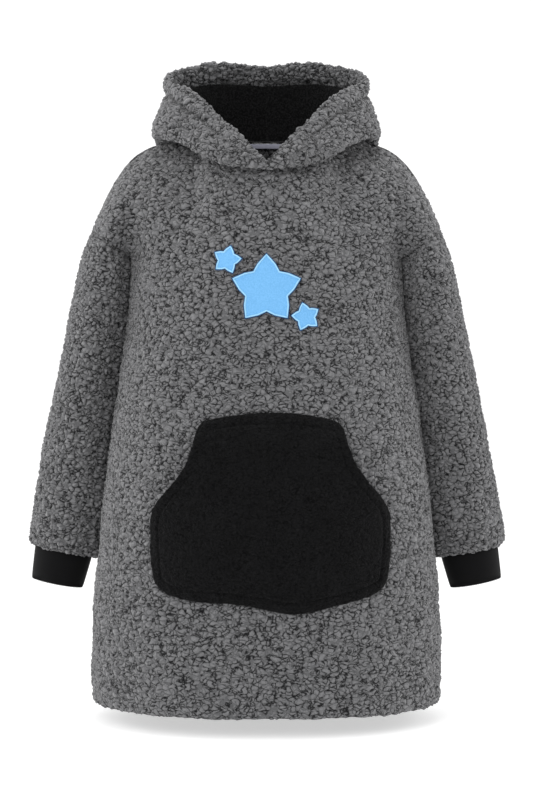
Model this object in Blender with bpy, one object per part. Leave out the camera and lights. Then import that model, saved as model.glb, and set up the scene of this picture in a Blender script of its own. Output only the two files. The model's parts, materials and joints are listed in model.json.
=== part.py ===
"""A pull-on hooded robe of curly fleece, child's size, filled out as when it is worn.

Metres, +Z up, the front towards -Y. The origin is the middle of the wearer's shoulders at the
base of the neck, where the robe hangs. Each piece of cloth is a wall between an outer grid of
points and an inner one. Pieces that are sewn together share their edge's points, so their walls
meet in a mitre, with a seam's gap between them.
"""

import math

import bpy
from mathutils import Vector
from mathutils.bvhtree import BVHTree

# Cloth thicknesses
FLEECE_WALL = 0.005
BAND_WALL = 0.0095
LINING_WALL = 0.0025
POCKET_WALL = 0.004
CUFF_WALL = 0.0025
TAPE_WALL = 0.001
APPLIQUE_WALL = 0.0015
SEAM_GAP = 0.0003
NECK_SEAM_GAP = 0.0004
LAID_GAP = 0.0005
POCKET_GAP = 0.0009
STAR_GAP = 0.0009

# How finely each piece is laid out
HALF_COLUMNS = 14
NECK_COLUMNS = 5
YOKE_ROWS = 10
SLEEVE_RINGS = 13
HOOD_ROWS = 9
STAR_STEPS = 20

# Body
UNDERARM_Z = -0.155
SIDE_Y = 0.012
SECTION_POWER = 2.3
YOKE_EASE = 0.014
MITRE_LIMIT = 1.45
CREASE_PASSES = 6
EDGE_ROUNDNESS = 0.8
SHARP_ANGLE = 50.0

# Neckline and shoulder
NECK_HALF_WIDTH = 0.078
NECK_SIDE_Z = 0.012
NECK_FRONT = Vector((0.0, -0.085, -0.045))
NECK_BACK = Vector((0.0, 0.066, 0.0))

# Armhole, a leaning oval from the underarm to the shoulder point
SHOULDER_POINT = Vector((0.224, SIDE_Y, -0.117))
ARMHOLE_HALF_DEPTH = 0.067
PINCH_TOP = (0.163, -0.050)
PINCH_SHARE = 0.36
PINCH_HALF_WIDTH = 0.014
PINCH_ENDS_Z = -0.215
PINCH_FADE = 0.045
ARMHOLE_CLEARANCE = 0.0004

# Sleeve end and cuff
SLEEVE_CLEARANCE = 0.0022
SLEEVE_ROLL = 0.013
CUFF_LENGTH = 0.041
CUFF_TUCK = 0.004
CUFF_TOP = (0.0385, 0.0365)
CUFF_BOTTOM = (0.0345, 0.0310)

# Hood
BAND_WIDTH = 0.0225
BAND_LARGEST_SHARE = 0.3
BAND_STEP = 0.0005
BAND_WIDENS = 120.0
BAND_WIDE = 160.0
FRONT_WALL = 0.0022
FRONT_STARTS = 118.0
FRONT_THIN = 160.0
LINING_ENDS = 126.0
LINING_FOOT_TRIM = 0.0025
LINING_BAND_TRIM = 0.0012
LAP_WIDTH = 0.005
LAP_STARTS = 130.0
TAPE_BELOW = 0.0075
TAPE_ABOVE = -0.001

# Pocket
POCKET_BOTTOM = -0.574
POCKET_TOP = -0.360
POCKET_MIDDLE_X = 0.005
POCKET_CROWN = 0.012
POCKET_SAG = 0.0135
POCKET_SAG_X = 0.033
POCKET_SAG_HALF_WIDTH = 0.045
POCKET_CORNER_RISE = 0.016
POCKET_BULGE = 0.011
POCKET_ROWS = 10
POCKET_HALF_COLUMNS = 8
HAND_OPENING_Z = -0.475
HAND_OPENING_LIFT = 0.007
HAND_OPENING_FADE = 0.02

# Star applique
STAR_NOTCH = 0.62
STAR_ROUNDNESS = 0.35


def table(columns, rows):
    """A list of dictionaries, one for each row, keyed by the column names."""
    return [dict(zip(columns.split(), row)) for row in rows]


# Level sections of the body: greatest half width, and how far the front and back reach
BODY = table(
    "z half_width front back",
    [
        (-0.713, 0.2215, 0.1385, 0.1280),
        (-0.702, 0.2240, 0.1400, 0.1300),
        (-0.600, 0.2220, 0.1385, 0.1290),
        (-0.540, 0.2170, 0.1365, 0.1280),
        (-0.459, 0.2090, 0.1335, 0.1250),
        (-0.370, 0.1980, 0.1300, 0.1220),
        (-0.242, 0.1780, 0.1210, 0.1200),
        (-0.155, 0.1710, 0.1150, 0.1180),
    ],
)
BODY_ROWS = (-0.713, -0.703, -0.660, -0.610, -0.560, -0.510, -0.460, -0.410, -0.360, -0.310, -0.255, -0.205)

# Centre lines of the yoke from the underarm's level to the neck, as reach at each height
CENTRE_FRONT = table("z reach", [(-0.155, 0.1150), (-0.100, 0.1060), (-0.065, 0.0950), (-0.045, 0.0850)])
CENTRE_BACK = table("z reach", [(-0.155, 0.1180), (-0.100, 0.1180), (-0.045, 0.1010), (0.0, 0.0660)])

# Shoulder seam from the neck to the shoulder point
SHOULDER_SEAM = table(
    "x y z",
    [
        (0.0780, 0.0000, 0.0120),
        (0.1100, 0.0010, 0.0025),
        (0.1400, 0.0030, -0.0055),
        (0.1610, 0.0050, -0.0135),
        (0.1780, 0.0070, -0.0285),
        (0.1945, 0.0090, -0.0515),
        (0.2075, 0.0105, -0.0765),
        (0.2165, 0.0115, -0.0975),
        (0.2240, 0.0120, -0.1170),
    ],
)

# Soft troughs (depth above zero) and swells (below zero) that run up and down the body
FOLDS = table(
    "face x low high half_width depth",
    [
        (-1, -0.178, -0.760, -0.600, 0.022, 0.0050),
        (-1, 0.172, -0.770, -0.560, 0.026, 0.0040),
        (-1, 0.010, -0.760, -0.590, 0.050, 0.0030),
        (-1, -0.095, -0.330, -0.200, 0.030, 0.0025),
        (-1, 0.105, -0.350, -0.190, 0.030, 0.0025),
        (1, -0.120, -0.770, -0.420, 0.035, 0.0060),
        (1, 0.035, -0.770, -0.360, 0.040, 0.0050),
        (1, 0.150, -0.760, -0.480, 0.030, 0.0050),
    ],
)

# Sleeve rings: where each one's outer and inner sides lie, its half depth and its middle
SLEEVE = table(
    "outer_x outer_z inner_z half_depth middle_y",
    [
        (0.2334, -0.1385, -0.1720, 0.0680, 0.0140),
        (0.2422, -0.1645, -0.1920, 0.0675, 0.0170),
        (0.2531, -0.2159, -0.2360, 0.0665, 0.0240),
        (0.2586, -0.2407, -0.2590, 0.0655, 0.0280),
        (0.2697, -0.2930, -0.3110, 0.0635, 0.0340),
        (0.2806, -0.3450, -0.3630, 0.0610, 0.0380),
        (0.2916, -0.3960, -0.4150, 0.0580, 0.0410),
        (0.3015, -0.4490, -0.4680, 0.0540, 0.0440),
        (0.3110, -0.5060, -0.5260, 0.0480, 0.0450),
    ],
)

# Hood, from the centre back (0 degrees) to the centre front (180), as radius and height of
# the fold over the neck seam, the lowest line, the widest line, a line between, and the rim
HOOD = table(
    "azimuth fold_r fold_z floor_r floor_z belly_r belly_z mid_r mid_z rim_r rim_z",
    [
        (0, 0.0840, 0.0140, 0.1350, -0.0880, 0.1800, -0.0300, 0.1650, 0.0500, 0.1200, 0.1170),
        (30, 0.0880, 0.0140, 0.1380, -0.0760, 0.1780, -0.0250, 0.1630, 0.0480, 0.1250, 0.1190),
        (60, 0.0920, 0.0180, 0.1400, -0.0260, 0.1660, -0.0030, 0.1530, 0.0450, 0.1380, 0.1010),
        (80, 0.0940, 0.0200, 0.1330, 0.0010, 0.1500, 0.0030, 0.1390, 0.0430, 0.1310, 0.0780),
        (100, 0.0930, 0.0160, 0.1280, -0.0020, 0.1470, 0.0020, 0.1320, 0.0370, 0.1020, 0.0620),
        (120, 0.0890, 0.0050, 0.1180, -0.0200, 0.1280, -0.0060, 0.1130, 0.0180, 0.0885, 0.0410),
        (140, 0.0900, -0.0150, 0.1110, -0.0400, 0.1200, -0.0260, 0.1080, -0.0050, 0.0855, 0.0170),
        (160, 0.0905, -0.0365, 0.1050, -0.0500, 0.1120, -0.0400, 0.1050, -0.0230, 0.0880, -0.0070),
        (180, 0.0900, -0.0460, 0.0960, -0.0495, 0.1015, -0.0495, 0.1050, -0.0465, 0.1050, -0.0415),
    ],
)

# Pocket's half width at each height, wide below the slanted hand openings
POCKET = table(
    "z half_width",
    [
        (-0.574, 0.1370),
        (-0.560, 0.1410),
        (-0.480, 0.1437),
        (-0.4635, 0.1375),
        (-0.440, 0.1150),
        (-0.410, 0.0955),
        (-0.360, 0.0850),
    ],
)

# Star appliques on the chest
STARS = table(
    "name x z radius turn",
    [
        ("applique_star_large", 0.000, -0.199, 0.0420, 0.0),
        ("applique_star_left", -0.047, -0.163, 0.0165, 14.0),
        ("applique_star_right", 0.047, -0.232, 0.0165, -14.0),
    ],
)

# Colour, roughness
FINISHES = {
    "curly_fleece": ((0.128, 0.128, 0.134), 0.95),
    "black_fleece": ((0.0090, 0.0090, 0.0095), 0.95),
    "black_lining": ((0.0095, 0.0095, 0.0105), 0.80),
    "black_rib": ((0.0075, 0.0075, 0.0080), 0.85),
    "neck_tape": ((0.42, 0.42, 0.48), 0.70),
    "blue_felt": ((0.23, 0.56, 0.91), 0.85),
}


def between(rows, key, value, column):
    """A column's value between the rows of a table, on a smooth curve through them."""
    rows = sorted(rows, key=lambda row: row[key])
    value = min(max(value, rows[0][key]), rows[-1][key])
    last = len(rows) - 2
    i = min(max(sum(row[key] <= value for row in rows) - 1, 0), last)

    def slope(a, b):
        return (rows[b][column] - rows[a][column]) / (rows[b][key] - rows[a][key])

    span = rows[i + 1][key] - rows[i][key]
    t = (value - rows[i][key]) / span
    start = slope(max(i - 1, 0), i + 1) * span
    end = slope(i, min(i + 2, last + 1)) * span
    return (
        (2 * t**3 - 3 * t**2 + 1) * rows[i][column]
        + (t**3 - 2 * t**2 + t) * start
        + (3 * t**2 - 2 * t**3) * rows[i + 1][column]
        + (t**3 - t**2) * end
    )


def smooth_step(value):
    value = min(max(value, 0.0), 1.0)
    return value * value * (3 - 2 * value)


def resampled(points, places):
    """Points on a smooth curve through the given ones, at the given lengths along it."""
    dense = []
    for i in range(len(points) - 1):
        before, a, b, after = (points[min(max(k, 0), len(points) - 1)] for k in range(i - 1, i + 3))
        for step in range(16):
            t = step / 16
            dense.append(
                0.5
                * (
                    2 * a
                    + (b - before) * t
                    + (2 * before - 5 * a + 4 * b - after) * t**2
                    + (3 * a - before - 3 * b + after) * t**3
                )
            )
    dense.append(points[-1].copy())
    lengths = [0.0]
    for a, b in zip(dense, dense[1:]):
        lengths.append(lengths[-1] + (b - a).length)
    found = []
    for place in places(lengths[-1]):
        i = min(max(sum(length <= place for length in lengths) - 1, 0), len(dense) - 2)
        share = (place - lengths[i]) / (lengths[i + 1] - lengths[i])
        found.append(dense[i].lerp(dense[i + 1], min(max(share, 0.0), 1.0)))
    return found


def evenly(count):
    return lambda total: [total * i / count for i in range(count + 1)]


def mirrored(grid):
    return [[Vector((-p.x, p.y, p.z)) for p in row] for row in grid]


def body_point(z, share, face):
    """A point of a level section: share runs from the centre line (0) to the side seam (1)."""
    angle = share * math.pi / 2
    reach = between(BODY, "z", z, "front" if face < 0 else "back") - face * SIDE_Y
    x = between(BODY, "z", z, "half_width") * math.sin(angle) ** (2 / SECTION_POWER)
    y = SIDE_Y + face * reach * max(math.cos(angle), 0.0) ** (2 / SECTION_POWER)
    return Vector((x, y, z))


def neck_point(share, face):
    """A point of the neckline: share runs from the centre (0) to the shoulder seam (1)."""
    angle = share * math.pi / 2
    middle = NECK_FRONT if face < 0 else NECK_BACK
    z = middle.z + (NECK_SIDE_Z - middle.z) * math.sin(angle) ** 2
    return Vector((NECK_HALF_WIDTH * math.sin(angle), middle.y * math.cos(angle), z))


def armhole_point(share, face):
    """A point of the armhole: share runs from the underarm (0) to the shoulder point (1)."""
    angle = share * math.pi
    underarm = body_point(UNDERARM_Z, 1.0, face)
    middle = (underarm + SHOULDER_POINT) / 2
    point = middle + (underarm - SHOULDER_POINT) / 2 * math.cos(angle)
    point.y = SIDE_Y + face * ARMHOLE_HALF_DEPTH * math.sin(angle)
    return point


def pinched(point):
    """Draws the cloth in along the valley between the chest and the upper arm."""
    top_x, top_z = PINCH_TOP
    underarm_x = between(BODY, "z", UNDERARM_Z, "half_width")
    down = (top_z - point.z) / (top_z - UNDERARM_Z)
    valley_x = top_x + (underarm_x - top_x) * min(max(down, 0.0), 1.0)
    depth = PINCH_SHARE * smooth_step(down) * smooth_step((point.z - PINCH_ENDS_Z) / PINCH_FADE)
    across = math.exp(-(((abs(point.x) - valley_x) / PINCH_HALF_WIDTH) ** 2))
    y = SIDE_Y + (point.y - SIDE_Y) * (1 - depth * across)
    return Vector((point.x, y, point.z))


def yoke_half(face):
    """Rows from the underarm's level to the neck and shoulder, blended from four edges."""
    bottom = [body_point(UNDERARM_Z, j / HALF_COLUMNS, face) for j in range(HALF_COLUMNS + 1)]
    shoulder = resampled(
        [Vector((row["x"], row["y"], row["z"])) for row in SHOULDER_SEAM],
        evenly(HALF_COLUMNS - NECK_COLUMNS),
    )
    top = [neck_point(j / NECK_COLUMNS, face) for j in range(NECK_COLUMNS)] + shoulder
    centre = CENTRE_FRONT if face < 0 else CENTRE_BACK
    left = resampled([Vector((0, face * row["reach"], row["z"])) for row in centre], evenly(YOKE_ROWS))
    right = [armhole_point(i / YOKE_ROWS, face) for i in range(YOKE_ROWS + 1)]
    rows = []
    for i in range(YOKE_ROWS + 1):
        v = i / YOKE_ROWS
        row = []
        for j in range(HALF_COLUMNS + 1):
            u = j / HALF_COLUMNS
            corners = (bottom[0].lerp(bottom[-1], u)).lerp(top[0].lerp(top[-1], u), v)
            point = bottom[j].lerp(top[j], v) + left[i].lerp(right[i], u) - corners
            point.y -= face * YOKE_EASE * math.sin(math.pi * u) * math.sin(math.pi * v)
            row.append(pinched(point))
        rows.append(row)
    return rows


def fold_depth(point, share, face):
    depth = 0.0
    for fold in FOLDS:
        if fold["face"] == face:
            along = (point.z - fold["low"]) / (fold["high"] - fold["low"])
            rise = math.sin(math.pi * min(max(along, 0.0), 1.0)) ** 2
            depth += fold["depth"] * rise * math.exp(-(((point.x - fold["x"]) / fold["half_width"]) ** 2))
    return depth * (1 - share**8)


def eased(grid):
    """Eases the crease across the rows where the yoke starts, between the sewn edges."""
    first = len(BODY_ROWS)
    for _ in range(CREASE_PASSES):
        depths = {}
        for i in range(first - 1, first + 3):
            for j in range(1, len(grid[0]) - 1):
                below, here, above = grid[i - 1][j], grid[i][j], grid[i + 1][j]
                share = (here.z - below.z) / (above.z - below.z)
                depths[(i, j)] = (here.y + below.y + (above.y - below.y) * share) / 2
        for (i, j), depth in depths.items():
            grid[i][j].y = depth
    return grid


def body_grid(face):
    """The whole front (-1) or back (1), hem to neck, as a grid from side seam to side seam."""
    half = []
    for z in BODY_ROWS:
        half.append([pinched(body_point(z, j / HALF_COLUMNS, face)) for j in range(HALF_COLUMNS + 1)])
    half += yoke_half(face)
    grid = []
    for row in half:
        whole = [Vector((-p.x, p.y, p.z)) for p in reversed(row[1:])] + row
        for j, point in enumerate(whole):
            share = abs(j - HALF_COLUMNS) / HALF_COLUMNS
            point.y -= face * fold_depth(point, share, face)
        grid.append(whole)
    return eased(grid)


def sleeve_frame(row):
    """Middle, outward direction and half width of one sleeve ring."""
    offset = row["middle_y"] - SIDE_Y
    reach = between(BODY, "z", row["inner_z"], "back") - SIDE_Y
    narrowing = (1 - (offset / reach) ** SECTION_POWER) ** (1 / SECTION_POWER)
    inner_x = between(BODY, "z", row["inner_z"], "half_width") * narrowing + SLEEVE_CLEARANCE
    outer = Vector((row["outer_x"], row["middle_y"], row["outer_z"]))
    inner = Vector((inner_x, row["middle_y"], row["inner_z"]))
    return (outer + inner) / 2, (outer - inner).normalized(), (outer - inner).length / 2


def ring(middle, across, half_width, half_depth):
    """Points round a sleeve, from its inner side by the front to its outer side and back."""
    count = 2 * YOKE_ROWS
    points = []
    for i in range(count):
        angle = 2 * math.pi * i / count
        point = middle - across * half_width * math.cos(angle)
        point.y -= half_depth * math.sin(angle)
        points.append(point)
    return points


def sleeve_end():
    """Middle, outward direction and axis of the sleeve's last ring, and its half sizes."""
    row = SLEEVE[-1]
    middle, across, half_width = sleeve_frame(row)
    axis = Vector((0, 1, 0)).cross(across).normalized()
    if axis.z > 0:
        axis = -axis
    return middle, across, axis, half_width, row["half_depth"]


def sleeve_grid(front, back):
    """Rings of the +X sleeve, from the armhole edge of the front and back to the rolled end."""
    rows_up = range(len(BODY_ROWS), len(front))
    loop = [front[i][-1].copy() for i in rows_up] + [back[i][-1].copy() for i in reversed(rows_up)][1:-1]
    grid = [loop]
    keyed = [dict(row, order=float(order)) for order, row in enumerate(SLEEVE)]
    for step in range(SLEEVE_RINGS + 1):
        order = step * (len(SLEEVE) - 1) / SLEEVE_RINGS
        row = {column: between(keyed, "order", order, column) for column in SLEEVE[0]}
        middle, across, half_width = sleeve_frame(row)
        grid.append(ring(middle, across, half_width, row["half_depth"]))
    middle, across, axis, half_width, half_depth = sleeve_end()
    for angle in (math.radians(35), math.radians(65), math.radians(90)):
        inset = 1 - math.cos(angle)
        width = half_width + (CUFF_TOP[0] + LAID_GAP - half_width) * inset
        depth = half_depth + (CUFF_TOP[1] + LAID_GAP - half_depth) * inset
        grid.append(ring(middle + axis * SLEEVE_ROLL * math.sin(angle), across, width, depth))
    return grid


def cuff_grid():
    """Rings of the +X cuff, from its sewn top inside the sleeve's roll to its lower edge."""
    middle, across, axis, _, _ = sleeve_end()
    grid = []
    for step in range(4):
        share = step / 3
        sizes = [a + (b - a) * share for a, b in zip(CUFF_TOP, CUFF_BOTTOM)]
        down = SLEEVE_ROLL - CUFF_TUCK + (CUFF_LENGTH + CUFF_TUCK) * share
        grid.append(ring(middle + axis * down, across, *sizes))
    return grid


def hood_profile(root, azimuth):
    """Points up one slice of the hood, from the neck seam to the rim, and its rows' lengths."""
    spots = [root.copy()]
    for name in ("fold", "floor", "belly", "mid", "rim"):
        radius = between(HOOD, "azimuth", azimuth, name + "_r")
        height = between(HOOD, "azimuth", azimuth, name + "_z")
        turn = math.radians(azimuth)
        spots.append(Vector((radius * math.sin(turn), radius * math.cos(turn), height)))

    def places(total):
        band = min(BAND_WIDTH, BAND_LARGEST_SHARE * total)
        below = total - band
        wide_step = min(band / 4, below / HOOD_ROWS / 2)
        widening = smooth_step((azimuth - BAND_WIDENS) / (BAND_WIDE - BAND_WIDENS))
        step = BAND_STEP + (wide_step - BAND_STEP) * widening
        rows = [below * i / HOOD_ROWS for i in range(HOOD_ROWS + 1)]
        rows[-1] -= step
        return rows + [below + step, below + (band + step) / 2, total]

    return resampled(spots, places)


def hood_grid(front, back):
    """The +X half of the hood's shell: a row for each height, a column for each slice."""
    middle = HALF_COLUMNS
    edge = [back[-1][middle + j] for j in range(NECK_COLUMNS + 1)]
    edge += [front[-1][middle + j] for j in reversed(range(NECK_COLUMNS))]
    roots = []
    for a, b in zip(edge, edge[1:]):
        roots += [a.copy(), a.lerp(b, 0.5)]
    roots.append(edge[-1].copy())
    azimuths = [math.degrees(math.atan2(root.x, root.y)) for root in roots]
    slices = [hood_profile(root, azimuth) for root, azimuth in zip(roots, azimuths)]
    return [[column[i] for column in slices] for i in range(len(slices[0]))], azimuths


def lapped(grid, azimuths):
    """Slants the meeting of the two halves at the front, where one laps over the other."""
    count = len(grid) - 1
    for i, row in enumerate(grid):
        lap = LAP_WIDTH * math.sin(math.pi * i / count)
        for point, azimuth in zip(row, azimuths):
            point.x -= lap * smooth_step((azimuth - LAP_STARTS) / (180 - LAP_STARTS))
    return grid


def hood_walls(grid, azimuths):
    """Thickness of the hood at each point: thin at the front, double at the turned band."""
    walls = []
    for i in range(len(grid)):
        row = []
        for azimuth in azimuths:
            share = smooth_step((azimuth - FRONT_STARTS) / (FRONT_THIN - FRONT_STARTS))
            full = BAND_WALL if i > HOOD_ROWS else FLEECE_WALL
            row.append(FLEECE_WALL if i == 0 else full + (FRONT_WALL - full) * share)
        walls.append(row)
    return walls


def grid_normals(grid, closed, middle_of):
    """Unit normals at a grid's points, turned away from each row's middle."""
    rows, columns = len(grid), len(grid[0])
    normals = [[Vector((0, 0, 0)) for _ in range(columns)] for _ in range(rows)]
    for i in range(rows - 1):
        for j in range(columns if closed else columns - 1):
            k = (j + 1) % columns
            normal = (grid[i + 1][k] - grid[i][j]).cross(grid[i + 1][j] - grid[i][k])
            for a, b in ((i, j), (i, k), (i + 1, k), (i + 1, j)):
                normals[a][b] += normal
    agreement = 0.0
    for i in range(rows // 2, rows):
        middle = middle_of(grid[i])
        agreement += sum((p - middle).dot(n) for p, n in zip(grid[i], normals[i]))
    turn = 1 if agreement > 0 else -1
    return [[n.normalized() * turn for n in row] for row in normals]


def place_key(point):
    return tuple(round(value * 1e6) for value in point)


def from_axis(row):
    return Vector((0, 0, row[0].z))


def from_ring(row):
    return sum(row, Vector((0, 0, 0))) / len(row)


def lined_walls(patches, leaning):
    """Inner grids for outer ones that share edges, all moved in along common normals."""
    meeting = {}
    normals = {}
    for name, (grid, closed, middle_of, _) in patches.items():
        normals[name] = grid_normals(grid, closed, middle_of)
        for row, row_normals in zip(grid, normals[name]):
            for point, normal in zip(row, row_normals):
                meeting.setdefault(place_key(point), []).append(normal)
    inner = {}
    for name, (grid, _, _, walls) in patches.items():
        inner[name] = []
        for i, row in enumerate(grid):
            moved = []
            for j, point in enumerate(row):
                key = place_key(point)
                group = meeting[key]
                common = sum(group, Vector((0, 0, 0))).normalized()
                spread = sum(common.dot(normal) for normal in group) / len(group)
                if key in leaning:
                    common = common.lerp(Vector((0, 0, -1)), leaning[key]).normalized()
                    spread = max(spread, 0.8)
                mitre = min(1 / max(spread, 0.01), MITRE_LIMIT)
                moved.append(point - common * walls[i][j] * mitre)
            inner[name].append(moved)
    return inner


def pull_in(outer, inner, edges, gap):
    """Moves the named edges of both grids towards the next row or column by a gap."""
    for grid in (outer, inner):
        rows, columns = len(grid) - 1, len(grid[0]) - 1
        for edge in edges:
            if edge in ("first_row", "last_row"):
                here, there = (0, 1) if edge == "first_row" else (rows, rows - 1)
                for j in range(columns + 1):
                    grid[here][j] += (grid[there][j] - grid[here][j]).normalized() * gap
            else:
                here, there = (0, 1) if edge == "first_column" else (columns, columns - 1)
                for row in grid:
                    row[here] += (row[there] - row[here]).normalized() * gap


def finish(name):
    found = bpy.data.materials.get(name)
    if found:
        return found
    colour, roughness = FINISHES[name]
    material = bpy.data.materials.new(name)
    material.use_nodes = True
    shader = material.node_tree.nodes["Principled BSDF"]
    shader.inputs["Base Color"].default_value = (*colour, 1)
    shader.inputs["Roughness"].default_value = roughness
    shader.inputs["Metallic"].default_value = 0
    return material


def solid(name, points, faces, finish_name):
    """One closed mesh object with its faces pointing out."""
    volume = 0.0
    for face in faces:
        for a, b in zip(face[1:], face[2:]):
            volume += points[face[0]].dot(points[a].cross(points[b]))
    if volume < 0:
        faces = [tuple(reversed(face)) for face in faces]
    mesh = bpy.data.meshes.new(name)
    mesh.from_pydata(points, [], faces)
    mesh.materials.append(finish(finish_name))
    mesh.shade_smooth()
    mesh.set_sharp_from_angle(angle=math.radians(SHARP_ANGLE))
    piece = bpy.data.objects.new(name, mesh)
    bpy.context.scene.collection.objects.link(piece)
    return piece


def edge_path(rows, columns, closed):
    """The grid places round its rim, in the direction of its faces, as one loop or two."""
    if closed:
        return [[(0, j) for j in range(columns)], [(rows - 1, j) for j in reversed(range(columns))]]
    path = [(0, j) for j in range(columns)]
    path += [(i, columns - 1) for i in range(1, rows)]
    path += [(rows - 1, j) for j in reversed(range(columns - 1))]
    path += [(i, 0) for i in reversed(range(1, rows - 1))]
    return [path]


def wall(name, outer, inner, finish_name, closed=False, soft_edges=(), turned=False):
    """A solid between two grids. Soft edges are rounded by a line of points that stands out.

    Turned picks the other diagonal of each cell, so that a mirrored piece is a true mirror image.
    """
    rows, columns = len(outer), len(outer[0])
    points = [p for row in outer for p in row] + [p for row in inner for p in row]
    size = rows * columns
    faces = []
    for i in range(rows - 1):
        for j in range(columns if closed else columns - 1):
            k = (j + 1) % columns
            a, b, c, d = i * columns + j, i * columns + k, (i + 1) * columns + k, (i + 1) * columns + j
            for corners in ((a, b, d), (b, c, d)) if turned else ((a, b, c), (a, c, d)):
                faces.append(corners)
                faces.append(tuple(size + corner for corner in reversed(corners)))

    def rounded(i, j):
        middle = (outer[i][j] + inner[i][j]) / 2
        half = (outer[i][j] - inner[i][j]).length / 2
        for edge, here, there in (
            ("first_row", i == 0, (min(1, rows - 1), j)),
            ("last_row", i == rows - 1, (rows - 2, j)),
            ("first_column", j == 0, (i, min(1, columns - 1))),
            ("last_column", j == columns - 1, (i, columns - 2)),
        ):
            if edge in soft_edges and here:
                away = (outer[i][j] - outer[there[0]][there[1]]).normalized()
                middle = middle + away * half * EDGE_ROUNDNESS
        return middle

    for path in edge_path(rows, columns, closed):
        ends_at = "first_row" if path[0][0] == 0 else "last_row"
        is_soft = bool(soft_edges) and (not closed or ends_at in soft_edges)
        middles = {}
        if is_soft:
            for i, j in path:
                middles[(i, j)] = len(points)
                points.append(rounded(i, j))
        for a, b in zip(path, path[1:] + path[:1]):
            lines = [[i * columns + j for i, j in (a, b)]]
            if is_soft:
                lines.append([middles[a], middles[b]])
            lines.append([size + corner for corner in lines[0]])
            for (near_a, near_b), (far_a, far_b) in zip(lines, lines[1:]):
                if points[lines[0][0]].z < points[lines[0][1]].z:
                    faces += [(near_b, near_a, far_b), (near_a, far_a, far_b)]
                else:
                    faces += [(near_b, near_a, far_a), (near_b, far_a, far_b)]
    return solid(name, points, faces, finish_name)


def surface_tree(grid):
    """A search tree of the grid's triangles, for laying a piece on it."""
    columns = len(grid[0])
    points = [p for row in grid for p in row]
    triangles = []
    for i in range(len(grid) - 1):
        for j in range(columns - 1):
            a = i * columns + j
            triangles += [(a, a + 1, a + columns + 1), (a, a + columns + 1, a + columns)]
    return BVHTree.FromPolygons(points, triangles)


def laid_on(tree, x, z, out):
    """The point of the front at x and z, moved out along the cloth's normal there."""
    spread = 0.008
    normal = Vector((0, 0, 0))
    for dx, dz in ((0, 0), (spread, 0), (-spread, 0), (0, spread), (0, -spread)):
        hit = tree.ray_cast(Vector((x + dx, -1, z + dz)), Vector((0, 1, 0)))
        normal += hit[1] if hit[1].y < 0 else -hit[1]
    place = tree.ray_cast(Vector((x, -1, z)), Vector((0, 1, 0)))[0]
    return place + normal.normalized() * out


def pocket_lift(share, z):
    """How far the pocket stands off the front: sewn along its top, bottom and lower sides."""
    up = (z - POCKET_BOTTOM) / (POCKET_TOP - POCKET_BOTTOM)
    upright = math.sin(math.pi * min(max(up, 0.0), 1.0)) ** 0.6
    opening = smooth_step((z - HAND_OPENING_Z) / HAND_OPENING_FADE)
    side = (1 - opening) * (1 - abs(share) ** 3) + opening * (1 - 0.25 * share**2)
    return POCKET_BULGE * upright * side + opening * HAND_OPENING_LIFT * abs(share) ** 6 * upright


def pocket_place(share, up):
    """Where a point of the pocket lies: its top edge is crowned, its bottom one sags off centre."""
    z = POCKET_BOTTOM + (POCKET_TOP - POCKET_BOTTOM) * up
    x = POCKET_MIDDLE_X + share * between(POCKET, "z", z, "half_width")
    sag = POCKET_SAG * math.exp(-(((x - POCKET_SAG_X) / POCKET_SAG_HALF_WIDTH) ** 2))
    foot = POCKET_CORNER_RISE * share**6 - sag
    return x, z + POCKET_CROWN * (1 - share**2) * up**2 + foot * (1 - up) ** 2


def make_pocket(tree):
    outer, inner = [], []
    for i in range(POCKET_ROWS + 1):
        up = i / POCKET_ROWS
        level = POCKET_BOTTOM + (POCKET_TOP - POCKET_BOTTOM) * up
        shares = [j / POCKET_HALF_COLUMNS for j in range(-POCKET_HALF_COLUMNS, POCKET_HALF_COLUMNS + 1)]
        places = [pocket_place(share, up) for share in shares]
        lifts = [POCKET_GAP + pocket_lift(share, level) for share in shares]
        inner.append([laid_on(tree, x, z, lift) for (x, z), lift in zip(places, lifts)])
        outer.append([laid_on(tree, x, z, lift + POCKET_WALL) for (x, z), lift in zip(places, lifts)])
    soft = ("first_row", "last_row", "first_column", "last_column")
    wall("pocket", outer, inner, "black_fleece", soft_edges=soft)


def make_star(tree, name, x, z, radius, turn):
    """A rounded five-pointed star with a middle ring, laid on the chest."""
    flat = [(0.0, 0.0)]
    for share in (0.5, 1.0):
        for step in range(STAR_STEPS):
            angle = 2 * math.pi * step / STAR_STEPS
            swing = 0.5 + 0.5 * math.cos(5 * angle)
            reach = STAR_NOTCH + (1 - STAR_NOTCH) * swing ** (1 + STAR_ROUNDNESS)
            bearing = angle + math.radians(turn)
            distance = share * radius * reach
            flat.append((distance * math.sin(bearing), distance * math.cos(bearing)))
    bottom = [laid_on(tree, x + dx, z + dz, STAR_GAP) for dx, dz in flat]
    top = [laid_on(tree, x + dx, z + dz, STAR_GAP + APPLIQUE_WALL) for dx, dz in flat]
    size = len(flat)
    faces = []
    for step in range(STAR_STEPS):
        following = (step + 1) % STAR_STEPS
        a, b = 1 + step, 1 + following
        c, d = a + STAR_STEPS, b + STAR_STEPS
        for face in ((0, a, b), (a, c, d, b)):
            faces.append(tuple(size + k for k in face))
            faces.append(tuple(reversed(face)))
        faces.append((c, size + c, size + d, d)[::-1])
    solid(name, bottom + top, faces, "blue_felt")


def make_tape(ridge):
    """The tape over the back neck seam, a low band just inside the seam's ridge."""
    outer, inner = [], []
    for height in (-TAPE_BELOW, TAPE_ABOVE):
        for grid, depth in ((outer, LAID_GAP), (inner, LAID_GAP + TAPE_WALL)):
            row = []
            for point in ridge:
                level = Vector((point.x, point.y, 0))
                shrunk = level * (1 - depth / level.length)
                row.append(Vector((shrunk.x, shrunk.y, point.z + height)))
            grid.append(row)
    wall("neck_tape", outer, inner, "neck_tape")


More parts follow.
